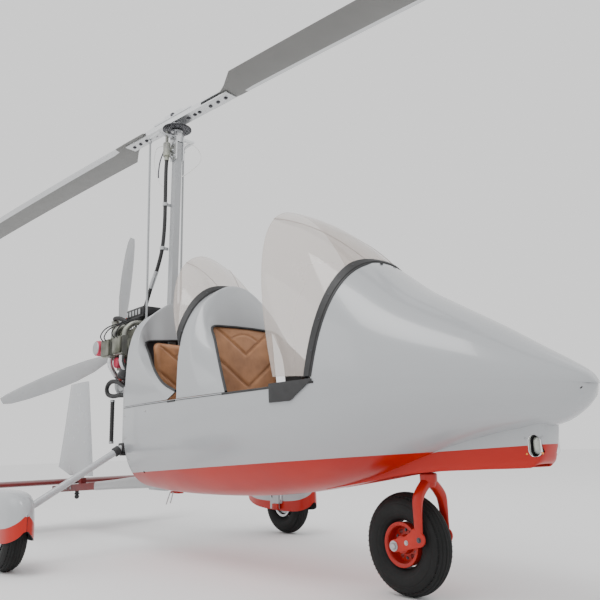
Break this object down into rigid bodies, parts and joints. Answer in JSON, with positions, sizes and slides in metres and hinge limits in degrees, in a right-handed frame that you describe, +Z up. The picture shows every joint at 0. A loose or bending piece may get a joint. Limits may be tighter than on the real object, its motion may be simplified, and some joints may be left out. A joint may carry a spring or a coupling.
{
  "type": "gyrocopter",
  "caption": "Open tandem-seat gyrocopter with a moulded pod, pusher engine, teetering rotor on a mast, tricycle gear and a tail with a moving rudder.",
  "frame": {"origin": "on the ground straight below the rotor hub, midway between the main wheels", "axes": "+X towards the nose, +Y to the pilot's left, +Z up"},
  "size_m": [8.3581, 1.9748, 2.7334],
  "materials": {
    "white_gelcoat": "glossy white gelcoat",
    "red_gelcoat": "glossy red gelcoat",
    "red_paint": "gloss red paint",
    "white_paint": "gloss white paint",
    "grey_paint": "satin grey paint",
    "grey_steel": "satin steel",
    "dark_steel": "dark machined steel",
    "sheet_aluminium": "bright aluminium",
    "cast_metal": "cast aluminium",
    "chrome_trim": "polished",
    "dark_interior": "matt dark lining",
    "black_plastic": "matt black",
    "black_rubber": "black rubber",
    "tan_leather": "soft tan leather",
    "tinted_screen": "clear lightly tinted acrylic",
    "blade_grey": "satin grey composite",
    "propeller_white": "satin white composite",
    "red_filter": "oiled red filter gauze",
    "radiator_black": "dark cooling fins",
    "tyre_black": "black tread rubber"
  },
  "bodies": {
    "airframe": {"belly_pan": "red_gelcoat", "hull_side_left": "white_gelcoat", "hull_side_right": "white_gelcoat", "front_cowl": "white_gelcoat", "nose_cap": "white_gelcoat", "nose_keel_box": "red_gelcoat", "nose_light_tube": "chrome_trim", "mid_fairing": "white_gelcoat", "rear_fairing": "white_gelcoat", "firewall": "sheet_aluminium", "cabin_floor": "dark_interior", "instrument_panel": "dark_interior", "cabin_controls": "black_plastic", "seat_boxes": "dark_interior", "front_seat_cushion": "tan_leather", "front_seat_back": "tan_leather", "rear_seat_cushion": "tan_leather", "rear_seat_back": "tan_leather", "front_windshield": "tinted_screen", "rear_windshield": "tinted_screen", "keel_beam": "grey_steel", "tail_boom": "grey_paint", "tail_boom_end": "red_paint", "tail_skid": "black_rubber", "stabilizer": "white_gelcoat", "side_fins": "white_gelcoat", "mast": "grey_paint", "mast_head": "sheet_aluminium", "rotor_head": "sheet_aluminium", "prerotator_drive": "sheet_aluminium", "prerotator_shaft": "black_rubber", "control_rods": "grey_paint", "engine_block": "cast_metal", "engine_cylinders": "cast_metal", "engine_mount": "grey_steel", "gearbox": "cast_metal", "air_filters": "red_filter", "exhaust": "grey_steel", "radiator": "radiator_black", "cooling_hoses": "black_rubber", "gear_legs": "white_paint", "main_axles": "grey_steel", "wheel_spats": "white_gelcoat"},
    "rotor": {"rotor_spindle": "grey_steel", "ring_gear": "dark_steel", "rotor_hub_bar": "sheet_aluminium", "rotor_blades": "blade_grey"},
    "propeller": {"propeller_hub": "dark_steel", "propeller_blades": "propeller_white"},
    "rudder": {"rudder": "white_gelcoat"},
    "left_main_wheel": {"left_main_wheel": "sheet_aluminium", "left_main_tyre": "tyre_black"},
    "right_main_wheel": {"right_main_wheel": "sheet_aluminium", "right_main_tyre": "tyre_black"},
    "nose_gear": {"nose_fork": "red_paint"},
    "nose_wheel": {"nose_wheel": "red_paint", "nose_tyre": "tyre_black"}
  },
  "joints": [
    {"name": "rotor_spin", "type": "hinge", "parent": "airframe", "child": "rotor", "pos_m": [0, 0, 2.6], "axis": [0, 0, 1], "continuous": true},
    {"name": "propeller_spin", "type": "hinge", "parent": "airframe", "child": "propeller", "pos_m": [-0.75, 0, 1.24], "axis": [1, 0, 0], "continuous": true},
    {"name": "rudder_hinge", "type": "hinge", "parent": "airframe", "child": "rudder", "pos_m": [-1.29, 0, 0.4], "axis": [0, 0, 1], "range_deg": [-25, 25]},
    {"name": "left_main_wheel_spin", "type": "hinge", "parent": "airframe", "child": "left_main_wheel", "pos_m": [-0.05, 0.91, 0.192], "axis": [0, 1, 0], "continuous": true},
    {"name": "right_main_wheel_spin", "type": "hinge", "parent": "airframe", "child": "right_main_wheel", "pos_m": [-0.05, -0.91, 0.192], "axis": [0, 1, 0], "continuous": true},
    {"name": "nose_steering", "type": "hinge", "parent": "airframe", "child": "nose_gear", "pos_m": [1.905, 0, 0.45], "axis": [0, 0, 1], "range_deg": [-28, 28]},
    {"name": "nose_wheel_spin", "type": "hinge", "parent": "nose_gear", "child": "nose_wheel", "pos_m": [1.788, 0, 0.192], "axis": [0, 1, 0], "continuous": true}
  ]
}
